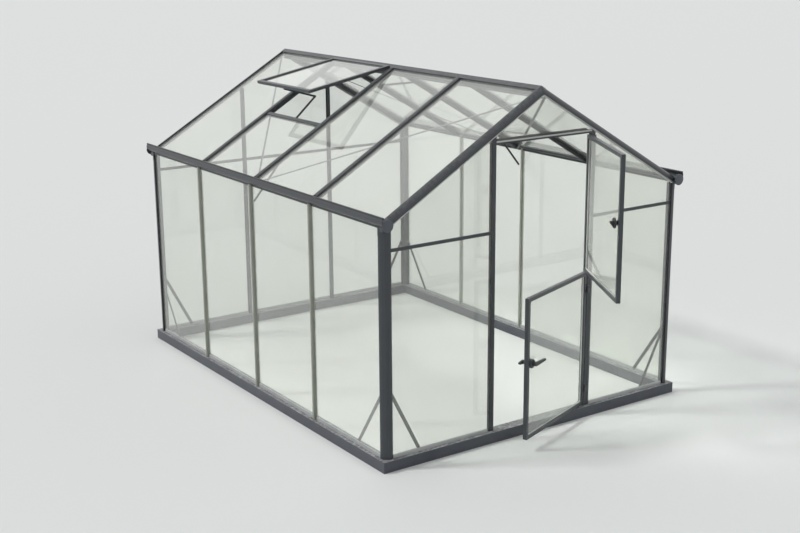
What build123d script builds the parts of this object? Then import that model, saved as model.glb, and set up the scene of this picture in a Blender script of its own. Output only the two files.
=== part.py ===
from build123d import *
import os
from math import atan2, cos, radians, sin, tan

# Glass greenhouse with a pitched roof, a two-leaf front door and one roof vent.
# Millimetres. X runs across the gables, Y from the front gable to the back, Z up.
# The origin is on the ground under the middle of the front gable's outer face.

os.makedirs("parts", exist_ok=True)

# Overall form
width = 2300.0
length = 3108.0
apex_height = 2132.0
wall_height = 1456.0
bay = 752.0
side_bars = 3
door_bay = 770.0
door_shift = 22.0
back_bay = 764.0
transom_height = 1312.0

# Base frame
base_height = 68.0
base_width = 80.0
base_overhang = 20.0
base_wall = 3.0

# Glass and the clearances round it
glass = 4.0
setback = 12.0
edge_gap = 1.0
seat_gap = 0.3

# Corner and verge profile
leg = 51.0
profile_wall = 3.0
rafter_depth = 26.0
fin = 14.0
fin_thickness = 2.5

# Glazing bar
cap_width = 26.0
cap_edge = 2.0
cap_rise = 5.0
roof_cap_width = 36.0
roof_cap_edge = 11.0
roof_cap_rise = 15.0
bar_web = 8.0
shoulder = 2.5
stem = 3.0
bar_depth = 30.0
channel_width = 16.0
channel_height = 9.0
channel_wall = 2.0
channel_slot = 8.0

# Slim bar of the transoms
transom_face = 20.0
transom_rise = 3.0
transom_depth = 18.0

# Sill rail
sill_height = 20.0
sill_wall = 2.5
sill_room = 4.6

# Gutter
gutter_radius = 33.0
gutter_wall = 2.5
gutter_inset = 13.0
gutter_lift = 23.0
gutter_overrun = 24.0
gutter_rim_angle = 30.0
gutter_cap = 4.0
hem = 15.0
drip = 15.0

# Ridge
ridge_wing = 30.0
ridge_lip = 2.5
ridge_wall = 2.5
ridge_shoulder = 22.0
ridge_web = 5.0
ridge_depth = 62.0

# Door frame and leaves
jamb_width = 30.0
jamb_depth = 25.0
jamb_proud = 3.0
jamb_wall = 2.5
head_room = 3.3332
head_depth = 20.0
leaf_thickness = 25.0
leaf_frame = 22.0
leaf_corner = 4.0
light_corner = 14.0
leaf_side_gap = 5.0
leaf_foot_gap = 9.0
leaf_head_gap = 6.0
leaf_split = 961.0
leaf_split_gap = 8.0
rebate = 8.0
lower_open = 20.5
upper_open = 62.5

# Hinges
pin_radius = 4.0
pin_clearance = 0.06
knuckle_radius = 8.0
knuckle_stand = 1.0
knuckle_height = 24.0
hinge_plate = 3.0
hinge_reach = 24.0
hinge_end = 110.0

# Lever of the lower leaf and knob of the upper leaf
grip_inset = 50.5
spindle_radius = 5.0
spindle_clearance = 0.08
pane_hole = 8.0
grip_gap = 0.5
handle_height = 548.0
rose_radius = 28.0
rose_thickness = 19.0
rose_edge = 4.0
hub_radius = 12.0
hub_length = 22.0
lever_length = 110.0
lever_depth = 12.0
lever_tip = 7.0
thumb_hub_length = 34.0
thumb_length = 38.0
knob_height = 1428.0
collar_radius = 17.0
collar_thickness = 6.0
collar_edge = 2.0
knob_neck = 11.0
knob_stand = 12.0
knob_disc = 31.0
knob_disc_thickness = 9.0
knob_wedge_up = 12.0
knob_wedge_down = 28.0
knob_wedge_height = 21.0
knob_wedge_width = 16.0
button_radius = 13.0
button_thickness = 18.0

# Roof vent
vent_bay = 1
vent_open = 19.6
vent_length = 652.0
vent_side_gap = 1.5
vent_frame_width = 26.0
vent_thickness = 20.0
vent_lift = 6.0
vent_sill_at = 690.0
vent_sill_width = 26.0
vent_sill_depth = 26.0
vent_sill_rise = 5.0
opener_width = 14.0
opener_thickness = 4.0
opener_pin = 4.0
opener_pin_end = 4.0
opener_knee_out = 419.0
opener_knee_lift = 39.299

# Braces
strap_width = 16.0
strap_thickness = 3.0
corner_brace_rise = 385.0
corner_brace_run = 190.0
corner_brace_rise_side = 380.0
corner_brace_run_side = 250.0
knee_drop = 150.0
knee_reach = 180.0
knee_width = 14.0
tie_drop = 122.0
wire_width = 9.0
wire_thickness = 2.0
wire_drop = 60.0
wire_rise = 60.0

# Worked out from the sizes above
half = width / 2
pitch = atan2(apex_height - wall_height, half)
rise_x, rise_z = cos(pitch), sin(pitch)
mid = length / 2
bar_places = [mid + (i - (side_bars - 1) / 2) * bay for i in range(side_bars)]
wall_x = half - setback
front_glass = setback
back_glass = length - setback
sill_cheek = sill_wall + (sill_room - glass) / 2
brace_face = setback + glass + max(sill_cheek, fin_thickness + seat_gap)
jamb_x = door_bay / 2
gutter_x = half - gutter_inset
gutter_z = apex_height - gutter_x * tan(pitch) + gutter_lift
left_mirror = Plane.YZ
end_mirror = Plane(origin=(0, mid, 0), x_dir=(1, 0, 0), z_dir=(0, 1, 0))


def block(x0, x1, y0, y1, z0, z1):
    """A box between two corners."""
    centre = Pos((x0 + x1) / 2, (y0 + y1) / 2, (z0 + z1) / 2)
    return centre * Box(x1 - x0, y1 - y0, z1 - z0)


def patch(x0, x1, y0, y1):
    """A flat rectangle between two corners."""
    return Pos((x0 + x1) / 2, (y0 + y1) / 2) * Rectangle(x1 - x0, y1 - y0)


def run(section, start, end, outward):
    """Carries a section from start to end, its +Y side facing outward."""
    along = Vector(*end) - Vector(*start)
    across = Vector(*outward).cross(along)
    return Plane(origin=start, x_dir=across, z_dir=along) * extrude(section, along.length)


def across_model(outline, y0, y1):
    """Carries an outline drawn in X and Z from y0 to y1."""
    face = make_face(Polyline(*outline, close=True))
    return Plane(origin=(0, y0, 0), x_dir=(1, 0, 0), z_dir=(0, -1, 0)) * extrude(face, y0 - y1)


def slope_point(s, n):
    """A point of the left slope: s down from the apex, n out of the glass plane."""
    return (-(s * rise_x + n * rise_z), apex_height - s * rise_z + n * rise_x)


def slope_z(x, n):
    """Height of the plane n outside the roof glass, at x."""
    return apex_height + n / rise_x - abs(x) * tan(pitch)


def under_roof(n):
    """All the space below the plane n outside the roof glass."""
    wide = 2 * half
    outline = [(-wide, -half), (wide, -half), (wide, slope_z(wide, n)), (0, slope_z(0, n))]
    outline.append((-wide, slope_z(wide, n)))
    return across_model(outline, -half, length + half)


# The head bar just clears the right rafter, which comes lowest over the door
head_top = slope_z(door_shift + jamb_x - jamb_width / 2, setback - leg) - head_room
head_height = head_top - head_depth


def both_sides(solid):
    """A left-hand solid and its mirror image on the right."""
    return solid, mirror(solid, about=left_mirror)


def both_ends(solid):
    """A front solid and its mirror image at the back."""
    return solid, mirror(solid, about=end_mirror)


def save(name, *solids):
    """Writes one node from one or more separate solids."""
    shapes = []
    for solid in solids:
        shapes.extend(solid.solids())
    shape = shapes[0] if len(shapes) == 1 else Compound(children=shapes)
    export_step(shape, f"parts/{name}.step")


# Sections

def dome(wide, edge, rise):
    """A cap with square edges and an arched top."""
    side = wide / 2
    sides = Polyline((-side, edge), (-side, 0), (side, 0), (side, edge))
    return make_face(sides + ThreePointArc((side, edge), (0, rise), (-side, edge)))


def channel(top):
    """A bolt channel that hangs below the level top and opens inwards."""
    floor = top - channel_height
    body = patch(-channel_width / 2, channel_width / 2, floor, top)
    room = channel_width / 2 - channel_wall
    body -= patch(-room, room, floor + channel_wall, top - channel_wall)
    return body - patch(-channel_slot / 2, channel_slot / 2, floor, floor + channel_wall)


def bar_core():
    """The part of a glazing bar behind the panes: shoulders, stem and bolt channel."""
    shape = patch(-cap_width / 2, cap_width / 2, -glass - shoulder, -glass)
    channel_top = channel_height - bar_depth
    shape += patch(-stem / 2, stem / 2, channel_top, -glass - shoulder)
    return shape + channel(channel_top)


def capped_bar(wide, edge, rise):
    """A glazing bar with a web between the panes and a cap over them."""
    shape = bar_core() + patch(-bar_web / 2, bar_web / 2, -glass, 0)
    return shape + dome(wide, edge, rise)


def transom_section():
    """A slim glazing bar with a T-shaped back."""
    shape = dome(transom_face, cap_edge, transom_rise)
    shape += patch(-stem / 2, stem / 2, -transom_depth, 0)
    return shape + patch(-transom_face / 2, transom_face / 2, -glass - shoulder, -glass)


def quarter(wide, high, inset):
    """A quarter-round in the box from the origin to (wide, high), smaller by inset all round."""
    across, up = wide - inset, high - inset
    disc = Circle(up) if across == up else Ellipse(across, up)
    return (Pos(wide, high) * disc) & patch(0, across, 0, up)


def corner_section(deep):
    """A hollow quarter-round whose round corner faces the origin, with two glazing fins."""
    shape = quarter(deep, leg, 0) - quarter(deep, leg, profile_wall)
    seat = setback + glass
    shape += patch(deep, deep + fin, seat, seat + fin_thickness)
    return shape + patch(seat, seat + fin_thickness, leg, leg + fin)


def tube_section(wide, deep, wall, outer):
    """A box tube whose outer face stands at the level outer."""
    shape = patch(-wide / 2, wide / 2, outer - deep, outer)
    return shape - patch(wall - wide / 2, wide / 2 - wall, outer - deep + wall, outer - wall)


# Base

def base_rails():
    """Four mitred box rails that the whole house stands on."""
    section = Pos(0, base_height / 2) * Rectangle(base_width, base_height)
    hollow = Rectangle(base_width - 2 * base_wall, base_height - 2 * base_wall)
    section -= Pos(0, base_height / 2) * hollow
    x = half + base_overhang
    y0, y1 = -base_overhang, length + base_overhang
    inset = base_width / 2
    front = run(section, (-x, y0 + inset, 0), (x, y0 + inset, 0), (0, 0, 1))
    side = run(section, (-x + inset, y0, 0), (-x + inset, y1, 0), (0, 0, 1))
    corner = make_face(Polyline((-x, y0), (x, y0), (0, y0 + x), close=True))
    wedge = Pos(0, 0, -base_height / 2) * extrude(corner, 2 * base_height)
    front = front & wedge
    for wedge_end in both_ends(wedge):
        side = side - wedge_end
    return front, mirror(front, about=end_mirror), side, mirror(side, about=left_mirror)


# Gutters

def gutter_envelope(radius):
    """The round space of the left gutter, over its whole length."""
    start = (-gutter_x, -half, gutter_z)
    return run(Circle(radius), start, (-gutter_x, length + half, gutter_z), (0, 0, 1))


def gutter_left():
    """A half-round trough with an inner rim under the roof glass and two fins for the wall glass."""
    trough = Circle(gutter_radius) - Circle(gutter_radius - gutter_wall)
    rim = gutter_radius * sin(radians(gutter_rim_angle))
    trough &= patch(-gutter_radius, gutter_radius, -gutter_radius, rim)
    face = gutter_x - wall_x
    drop = -gutter_radius - hem
    top = -gutter_radius + gutter_wall / 2
    outer = face - seat_gap
    inner = face + glass + seat_gap
    trough += patch(outer - fin_thickness, outer, drop, top)
    trough += patch(inner, inner + fin_thickness, drop, top)
    start = (-gutter_x, length + gutter_overrun, gutter_z)
    shape = run(trough, start, (-gutter_x, -gutter_overrun, gutter_z), (0, 0, 1))
    clear = leg + fin + seat_gap
    half_cap = cap_width / 2 + seat_gap
    notches = [(-half, clear), (length - clear, length + half)]
    notches += [(place - half_cap, place + half_cap) for place in bar_places]
    body = gutter_envelope(gutter_radius)
    for y0, y1 in notches:
        shape -= block(-half, -gutter_x / 2, y0, y1, 0, gutter_z) - body
    inward = block(-gutter_x, 0, -half, length + half, 0, apex_height)
    return shape - (inward - under_roof(-glass - seat_gap))


def gutter_caps():
    """Four round plates that close the gutters."""
    plate = Circle(gutter_radius)
    start = (-gutter_x, -gutter_overrun - gutter_cap, gutter_z)
    cap = run(plate, start, (-gutter_x, -gutter_overrun, gutter_z), (0, 0, 1))
    return [piece for side in both_sides(cap) for piece in both_ends(side)]


# Posts, rafters and ridge

def corner_post():
    """The front left post, cut to the rafter above it and to the gutter."""
    place = Plane(origin=(-half, 0, base_height), x_dir=(1, 0, 0), z_dir=(0, 0, 1))
    post = place * extrude(corner_section(leg), apex_height)
    post = post & under_roof(setback - leg - seat_gap)
    return post - gutter_envelope(gutter_radius + seat_gap)


def rafter():
    """The front left verge rafter, mitred at the apex and cut to post, gutter and ridge."""
    lead = 2 * leg
    x, z = slope_point(-lead, setback)
    down = (-rise_x, 0, -rise_z)
    place = Plane(origin=(x, 0, z), x_dir=(0, 1, 0), z_dir=down)
    beam = place * extrude(corner_section(rafter_depth), half / rise_x + 2 * lead)
    beam = beam & block(-half, 0, -leg, 2 * leg, 0, 2 * apex_height)
    beam -= gutter_envelope(gutter_radius + seat_gap)
    inner = leg + fin
    corner = block(-half - leg, inner - half, -leg, inner + leg, 0, apex_height)
    beam -= corner & under_roof(setback - leg)
    ridge_room = ridge_wing * rise_x + setback * rise_z
    return beam - block(-ridge_room, ridge_room, rafter_depth, 2 * inner, 0, 2 * apex_height)


def ridge_outline():
    """Left half of the ridge section, from the crest down to the middle of the bolt channel."""
    web = ridge_web / 2
    step = web * tan(pitch)
    top = setback - ridge_wall
    low = -glass - shoulder
    foot = apex_height - ridge_depth
    head = foot + channel_height
    wide = channel_width / 2
    points = [(0, slope_z(0, setback)), slope_point(ridge_wing, setback)]
    points += [slope_point(ridge_wing, 0), slope_point(ridge_wing - ridge_lip, 0)]
    points += [slope_point(ridge_wing - ridge_lip, top), (-web, slope_z(0, top) - step)]
    points += [(-web, slope_z(0, -glass) - step), slope_point(ridge_shoulder, -glass)]
    points += [slope_point(ridge_shoulder, low), (-web, slope_z(0, low) - step)]
    points += [(-web, head), (-wide, head), (-wide, foot), (-channel_slot / 2, foot)]
    points += [(-channel_slot / 2, foot + channel_wall)]
    points += [(channel_wall - wide, foot + channel_wall)]
    return points + [(channel_wall - wide, head - channel_wall)]


def ridge():
    """The ridge bar between the two pairs of rafters."""
    left = ridge_outline()
    right = [(-x, z) for x, z in reversed(left[1:])]
    end = rafter_depth + seat_gap
    return across_model(left + right, end, length - end)


# Glazing bars

def slope_run(section, y, s0, s1):
    """A bar of the left slope at y, from s0 to s1 below the apex."""
    x0, z0 = slope_point(s0, 0)
    x1, z1 = slope_point(s1, 0)
    return run(section, (x0, y, z0), (x1, y, z1), (-rise_z, 0, rise_x))


def roof_bars():
    """The bars of the left slope, from ridge to gutter."""
    section = capped_bar(roof_cap_width, roof_cap_edge, roof_cap_rise)
    bars = []
    stop = gutter_radius + seat_gap - gutter_x
    for y in bar_places:
        bar = slope_run(section, y, ridge_wing + seat_gap, half / rise_x)
        bar -= gutter_envelope(gutter_radius + seat_gap)
        bar -= block(-2 * half, stop, y - leg, y + leg, 0, gutter_z)
        bars.append(max(bar.solids(), key=lambda solid: solid.volume))
    return bars


def wall_bars():
    """The bars of the left wall behind its panes, from base to gutter."""
    section = bar_core()
    bars = []
    for y in bar_places:
        bar = run(section, (-wall_x, y, base_height), (-wall_x, y, gutter_z), (-1, 0, 0))
        bar &= under_roof(-glass - shoulder - seat_gap)
        bars.append(bar - gutter_envelope(gutter_radius + seat_gap))
    return bars


def back_bars():
    """Two bars of the back gable, from base to rafter."""
    section = capped_bar(cap_width, cap_edge, cap_rise)
    bars = []
    for x in (-back_bay / 2, back_bay / 2):
        bar = run(section, (x, back_glass, base_height), (x, back_glass, apex_height), (0, 1, 0))
        bar &= under_roof(setback - leg - seat_gap)
        bars.append(bar - gable_fin_room(True))
    return bars


def gable_fin_room(at_back):
    """The strip below the rafters that their glazing fins take up."""
    strip = under_roof(setback - leg) - under_roof(setback - leg - fin - seat_gap)
    y0 = setback + glass - seat_gap
    y1 = setback + glass + fin_thickness + seat_gap
    if at_back:
        y0, y1 = length - y1, length - y0
    return strip & block(-half, half, y0, y1, 0, apex_height)


# Gable transoms

def transom(x0, x1, y, outward):
    """A slim bar between two uprights, cut short of their glazing fins and to the rafters."""
    bar = run(transom_section(), (x0, y, transom_height), (x1, y, transom_height), (0, outward, 0))
    low, high = transom_height - transom_face, transom_height + transom_face
    inner = y - outward * glass
    y0, y1 = sorted((inner, inner - outward * transom_depth))
    for x in (x0, x1):
        bar -= block(x - fin - seat_gap, x + fin + seat_gap, y0, y1, low, high)
    return (bar & under_roof(setback - leg - seat_gap)) - gable_fin_room(outward > 0)


def beside_door(end_gap, door_gap):
    """The clear widths of the front gable left and right of the door frame."""
    end = half - leg - end_gap
    reach = jamb_x + jamb_width / 2 + door_gap
    return (-end, door_shift - reach), (door_shift + reach, end)


def front_transoms():
    """One transom each side of the door."""
    return [transom(x0, x1, front_glass, -1) for x0, x1 in beside_door(seat_gap, seat_gap)]


def back_transom():
    """The back transom in three lengths between posts and bars."""
    edge = back_bay / 2 + cap_width / 2 + seat_gap
    side = transom(leg - half + seat_gap, -edge, back_glass, 1)
    near = back_bay / 2 - cap_width / 2 - seat_gap
    middle = transom(-near, near, back_glass, 1)
    return both_sides(side) + (middle,)


# Door frame

def door_jamb(side):
    """A jamb, left for -1 and right for 1: a box tube with a glazing fin, cut to the rafter."""
    section = tube_section(jamb_width, jamb_depth, jamb_wall, jamb_proud)
    fin_end = jamb_width / 2 + fin
    x0, x1 = sorted((-side * jamb_width / 2, -side * fin_end))
    section += patch(x0, x1, -glass - fin_thickness, -glass)
    x = door_shift + side * jamb_x
    jamb = run(section, (x, front_glass, base_height), (x, front_glass, apex_height), (0, -1, 0))
    jamb = jamb & under_roof(setback - leg - seat_gap)
    return jamb - gable_fin_room(False)


def door_head():
    """The head bar between the jambs, with a fin for the pane above it."""
    section = tube_section(head_depth, jamb_depth, jamb_wall, jamb_proud)
    section += patch(head_depth / 2, head_depth / 2 + fin, -glass - fin_thickness, -glass)
    z = head_height + head_depth / 2
    reach = jamb_x - jamb_width / 2
    x0, x1 = door_shift - reach, door_shift + reach
    head = run(section, (x0, front_glass, z), (x1, front_glass, z), (0, -1, 0))
    return (head & under_roof(setback - leg - seat_gap)) - gable_fin_room(False)


# Sill rails

def sill(x0, y0, x1, y1):
    """A U-shaped rail on the base for the wall glass, outdoors being on its left hand."""
    section = patch(-glass - sill_cheek, sill_cheek, 0, sill_height)
    room = sill_cheek - sill_wall
    section -= patch(-glass - room, room, sill_wall, sill_height)
    return run(section, (x0, y0, base_height), (x1, y1, base_height), (0, 0, 1))


def spans(first, last, places, inset):
    """The clear lengths between uprights at the given places."""
    marks = [first] + [m for p in places for m in (p - inset, p + inset)] + [last]
    return [(marks[i], marks[i + 1]) for i in range(0, len(marks), 2)]


def sill_rails():
    """Every sill rail: side walls, back gable and the two front panels."""
    rails = []
    inset = cap_width / 2 + seat_gap
    start = leg + fin + seat_gap
    for y0, y1 in spans(start, length - start, bar_places, inset):
        rails.extend(both_sides(sill(-wall_x, y0, -wall_x, y1)))
    places = (-back_bay / 2, back_bay / 2)
    for x0, x1 in spans(start - half, half - start, places, inset):
        rails.append(sill(x0, back_glass, x1, back_glass))
    for x0, x1 in beside_door(fin + seat_gap, fin + seat_gap):
        rails.append(sill(x1, front_glass, x0, front_glass))
    return rails


# Panes

def wall_panes():
    """Full-height panes of the left wall."""
    low = base_height + sill_wall
    high = gutter_z - gutter_radius - seat_gap
    start = leg + edge_gap
    panes = []
    for y0, y1 in spans(start, length - start, bar_places, edge_gap):
        panes.append(block(-wall_x, glass - wall_x, y0, y1, low, high))
    return panes


def slope_pane(y0, y1, s0, s1):
    """A pane of the left slope."""
    outline = [slope_point(s0, 0), slope_point(s1, 0), slope_point(s1, -glass)]
    outline.append(slope_point(s0, -glass))
    return across_model(outline, y0, y1)


def roof_panes(vented):
    """Panes of the left slope from ridge to gutter, the vented bay starting below its sill."""
    top = (ridge_web / 2 + edge_gap) / rise_x + glass * tan(pitch)
    foot = (gutter_x - gutter_radius + gutter_wall + drip) / rise_x
    start = rafter_depth + edge_gap
    panes = []
    bays = spans(start, length - start, bar_places, bar_web / 2 + edge_gap)
    for i, (y0, y1) in enumerate(bays):
        opened = vented and i == vent_bay + 1
        s0 = vent_sill_at + vent_sill_width / 2 + edge_gap if opened else top
        panes.append(slope_pane(y0, y1, s0, foot))
    return panes


def gable_pane(x0, x1, z0, z1, y):
    """A pane of a gable, cut to the rafters above it."""
    pane = block(x0, x1, y, y + glass, z0, z1)
    return pane & under_roof(setback - leg - edge_gap)


def back_panes():
    """Panes of the back gable, below and above the transom."""
    low = base_height + sill_wall
    split = stem / 2 + edge_gap
    start = leg - half + edge_gap
    places = (-back_bay / 2, back_bay / 2)
    panes = []
    for x0, x1 in spans(start, -start, places, bar_web / 2 + edge_gap):
        y = back_glass - glass
        panes.append(gable_pane(x0, x1, low, transom_height - split, y))
        panes.append(gable_pane(x0, x1, transom_height + split, apex_height, y))
    return panes


def front_panes():
    """Panes beside and above the door."""
    low = base_height + sill_wall
    split = stem / 2 + edge_gap
    y = front_glass
    panes = []
    for x0, x1 in beside_door(edge_gap, edge_gap):
        panes.append(gable_pane(x0, x1, low, transom_height - split, y))
        panes.append(gable_pane(x0, x1, transom_height + split, apex_height, y))
    inner = jamb_x - jamb_width / 2 - edge_gap
    crown_foot = head_height + head_depth + edge_gap
    panes.append(gable_pane(door_shift - inner, door_shift + inner, crown_foot, apex_height, y))
    return panes


# Door leaves, drawn shut and then swung about the hinge pins

hinge_x = door_shift + jamb_x - jamb_width / 2 - leaf_side_gap / 2
leaf_front = front_glass - jamb_proud
hinge_y = leaf_front - knuckle_stand - knuckle_radius
leaf_half = jamb_x - jamb_width / 2 - leaf_side_gap
leaf_x0, leaf_x1 = door_shift - leaf_half, door_shift + leaf_half
grip_x = leaf_x0 + grip_inset
pane_front = leaf_front + (leaf_thickness - glass) / 2
pane_back = pane_front + glass
lower_span = (base_height + leaf_foot_gap, leaf_split - leaf_split_gap / 2)
upper_span = (leaf_split + leaf_split_gap / 2, head_height - leaf_head_gap)


def swung(solid, angle):
    """Turns a leaf's solid outwards about the hinge pins."""
    place = Pos(hinge_x, hinge_y, 0)
    return place * Rot(0, 0, angle) * place.inverse() * solid


def leaf_plate(x0, x1, z0, z1, corner, y0, y1):
    """An upright plate with rounded corners."""
    shape = RectangleRounded(x1 - x0, z1 - z0, corner)
    place = Plane(origin=((x0 + x1) / 2, y1, (z0 + z1) / 2), x_dir=(1, 0, 0), z_dir=(0, -1, 0))
    return place * extrude(shape, y1 - y0)


def leaf_frame_ring(span):
    """The leaf's frame with rounded corners and a groove for its pane."""
    z0, z1 = span
    y0, y1 = leaf_front, leaf_front + leaf_thickness
    ring = leaf_plate(leaf_x0, leaf_x1, z0, z1, leaf_corner, y0, y1)
    x0, x1 = leaf_x0 + leaf_frame, leaf_x1 - leaf_frame
    z2, z3 = z0 + leaf_frame, z1 - leaf_frame
    ring -= leaf_plate(x0, x1, z2, z3, light_corner, y0, y1)
    groove = rebate + seat_gap
    g0, g1 = pane_front - seat_gap, pane_back + seat_gap
    return ring - leaf_plate(x0 - groove, x1 + groove, z2 - groove, z3 + groove, leaf_corner, g0, g1)


def leaf_pane(span, grip_z):
    """The leaf's pane, which stands in the frame's groove and is bored for the spindle."""
    z0, z1 = span[0] + leaf_frame - rebate, span[1] - leaf_frame + rebate
    x0, x1 = leaf_x0 + leaf_frame - rebate, leaf_x1 - leaf_frame + rebate
    pane = leaf_plate(x0, x1, z0, z1, leaf_corner, pane_front, pane_back)
    return pane - along_spindle(Circle(pane_hole), grip_z, pane_front - leg, pane_back + leg)


def upright_round(radius, z0, z1):
    """A round bar on the hinge axis."""
    return Pos(hinge_x, hinge_y, (z0 + z1) / 2) * Cylinder(radius, z1 - z0)


def hinge_heights(span):
    """Where a leaf's two hinges are split."""
    return span[0] + hinge_end, span[1] - hinge_end


def leaf_hinge(z):
    """The upper half of a hinge: a bored knuckle with a plate on the leaf."""
    z0, z1 = z + seat_gap / 2, z + knuckle_height
    knuckle = upright_round(knuckle_radius, z0, z1)
    plate = block(hinge_x - hinge_reach, hinge_x, leaf_front - hinge_plate, leaf_front, z0, z1)
    knuckle += plate
    return knuckle - upright_round(pin_radius + pin_clearance, z0 - leg, z1 + leg)


def jamb_hinge(z):
    """The lower half of a hinge: a knuckle with its pin and a plate on the jamb."""
    z0, z1 = z - knuckle_height, z - seat_gap / 2
    knuckle = upright_round(knuckle_radius, z0, z1)
    plate = block(hinge_x, hinge_x + hinge_reach, leaf_front - hinge_plate, leaf_front, z0, z1)
    return knuckle + plate + upright_round(pin_radius, z0, z + knuckle_height)


def along_spindle(section, z, y0, y1):
    """Carries a section along the spindle's axis at height z."""
    return run(section, (grip_x, y0, z), (grip_x, y1, z), (0, 0, 1))


def spun(outline, z, face, side):
    """Turns an outline of (radius, height above the pane's face) about the spindle's axis."""
    place = Plane(origin=(grip_x, face, z), x_dir=(1, 0, 0), z_dir=(0, 0, side))
    profile = place * make_face(Polyline(*outline, close=True))
    return revolve(profile, Axis((grip_x, face, z), (0, 1, 0)))


def rose(z, face, side, radius, height, edge):
    """A round plate with a bevelled edge that stands on the pane, bored for the spindle."""
    bore = spindle_radius + spindle_clearance
    outline = [(bore, 0), (radius, 0), (radius, height - edge), (radius - edge, height), (bore, height)]
    return spun(outline, z, face, side)


def roses(z, radius, height, edge):
    """The roses on both faces of the pane."""
    faces = (pane_front, -1), (pane_back, 1)
    return [rose(z, face, side, radius, height, edge) for face, side in faces]


def lever_arm(length):
    """A lever seen from the front: a round hub with a tapered arm, to the hinge side if positive."""
    tip = Pos(length, 0) * Circle(lever_tip)
    return make_hull(Circle(hub_radius).edges() + tip.edges())


def lever_handle():
    """A spindle with a long lever outdoors and a short thumb lever indoors."""
    start = rose_thickness + grip_gap
    outer, inner = start + hub_length, start + thumb_hub_length
    shaft = Circle(spindle_radius)
    handle = along_spindle(shaft, handle_height, pane_front - outer, pane_back + inner)
    levers = (pane_front, -1, outer, lever_length), (pane_back, 1, inner, -thumb_length)
    for face, side, end, length in levers:
        hub = [(0, start), (hub_radius, start), (hub_radius, end), (0, end)]
        handle += spun(hub, handle_height, face, side)
        y0, y1 = sorted((face + side * (end - lever_depth), face + side * end))
        place = Plane(origin=(grip_x, y1, handle_height), x_dir=(1, 0, 0), z_dir=(0, -1, 0))
        handle += place * extrude(lever_arm(length), y1 - y0)
    return handle


def turn_knob():
    """A spindle with a wide knob and a wedge grip indoors, and a round button outdoors."""
    start = collar_thickness + grip_gap
    disc_at = start + knob_stand
    grip_at = disc_at + knob_disc_thickness
    top = grip_at + knob_wedge_height
    button_end = start + button_thickness
    shaft = Circle(spindle_radius)
    knob = along_spindle(shaft, knob_height, pane_front - button_end, pane_back + grip_at)
    outline = [(0, start), (knob_neck, start), (knob_neck, disc_at), (knob_disc, disc_at)]
    outline += [(knob_disc, grip_at), (0, grip_at)]
    knob += spun(outline, knob_height, pane_back, 1)
    wedge = [(disc_at, knob_wedge_up), (top, knob_wedge_up), (top, 0)]
    wedge += [(grip_at, -knob_wedge_down), (disc_at, -knob_wedge_down)]
    side_view = Plane(origin=(grip_x, pane_back, knob_height), x_dir=(0, 1, 0), z_dir=(1, 0, 0))
    face = make_face(Polyline(*wedge, close=True))
    knob += side_view * extrude(face, knob_wedge_width / 2, both=True)
    button = [(0, start), (button_radius, start), (button_radius, button_end - button_radius / 2)]
    button += [(button_radius / 2, button_end), (0, button_end)]
    return knob + spun(button, knob_height, pane_front, -1)


# Roof vent, on the left slope

vent_inset = roof_cap_width / 2 + vent_side_gap
vent_y0 = bar_places[vent_bay] + vent_inset
vent_y1 = bar_places[vent_bay + 1] - vent_inset
vent_mid = (vent_y0 + vent_y1) / 2
vent_top = ridge_wing + seat_gap


def vent_point(s, n):
    """A point of the open vent, given by where it lies on the slope when shut."""
    x, z = slope_point(vent_top, setback)
    turn = pitch - radians(vent_open)
    down, out = s - vent_top, n - setback
    return (x - down * cos(turn) - out * sin(turn), z - down * sin(turn) + out * cos(turn))


def vent_slab(y0, y1, s0, s1, n0, n1):
    """A slab of the open vent."""
    outline = [vent_point(s0, n0), vent_point(s1, n0), vent_point(s1, n1), vent_point(s0, n1)]
    return across_model(outline, y0, y1)


def vent_frame():
    """The vent's frame with a groove for its pane."""
    s1 = vent_top + vent_length
    n0, n1 = vent_lift, vent_lift + vent_thickness
    frame = vent_slab(vent_y0, vent_y1, vent_top, s1, n0, n1)
    w = vent_frame_width
    frame -= vent_slab(vent_y0 + w, vent_y1 - w, vent_top + w, s1 - w, n0, n1)
    g = w - rebate - seat_gap
    m0 = (n0 + n1 - glass) / 2 - seat_gap
    m1 = (n0 + n1 + glass) / 2 + seat_gap
    return frame - vent_slab(vent_y0 + g, vent_y1 - g, vent_top + g, s1 - g, m0, m1)


def vent_pane():
    """The vent's pane."""
    g = vent_frame_width - rebate
    m0 = vent_lift + (vent_thickness - glass) / 2
    s1 = vent_top + vent_length
    return vent_slab(vent_y0 + g, vent_y1 - g, vent_top + g, s1 - g, m0, m0 + glass)


def vent_sill():
    """The cross bar that the vent shuts on, with a rebate for the pane below."""
    inset = roof_cap_width / 2 + seat_gap
    y0, y1 = bar_places[vent_bay] + inset, bar_places[vent_bay + 1] - inset
    s0, s1 = vent_sill_at - vent_sill_width / 2, vent_sill_at + vent_sill_width / 2
    low = vent_sill_rise - vent_sill_depth
    tongue = s1 + fin
    outline = [slope_point(s0, vent_sill_rise), slope_point(s1, vent_sill_rise)]
    outline += [slope_point(s1, -glass), slope_point(tongue, -glass)]
    outline += [slope_point(tongue, -glass - fin_thickness)]
    outline += [slope_point(s1, -glass - fin_thickness), slope_point(s1, low)]
    outline.append(slope_point(s0, low))
    return across_model(outline, y0, y1)


def link(start, end, y0, y1, wide):
    """A flat bar with round ends between two points of an upright plane."""
    dx, dz = end[0] - start[0], end[1] - start[1]
    reach = (dx * dx + dz * dz) ** 0.5
    centre = ((start[0] + end[0]) / 2, y0, (start[1] + end[1]) / 2)
    place = Plane(origin=centre, x_dir=(dx, 0, dz), z_dir=(0, 1, 0))
    return place * extrude(SlotCenterToCenter(reach, wide), y1 - y0)


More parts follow.
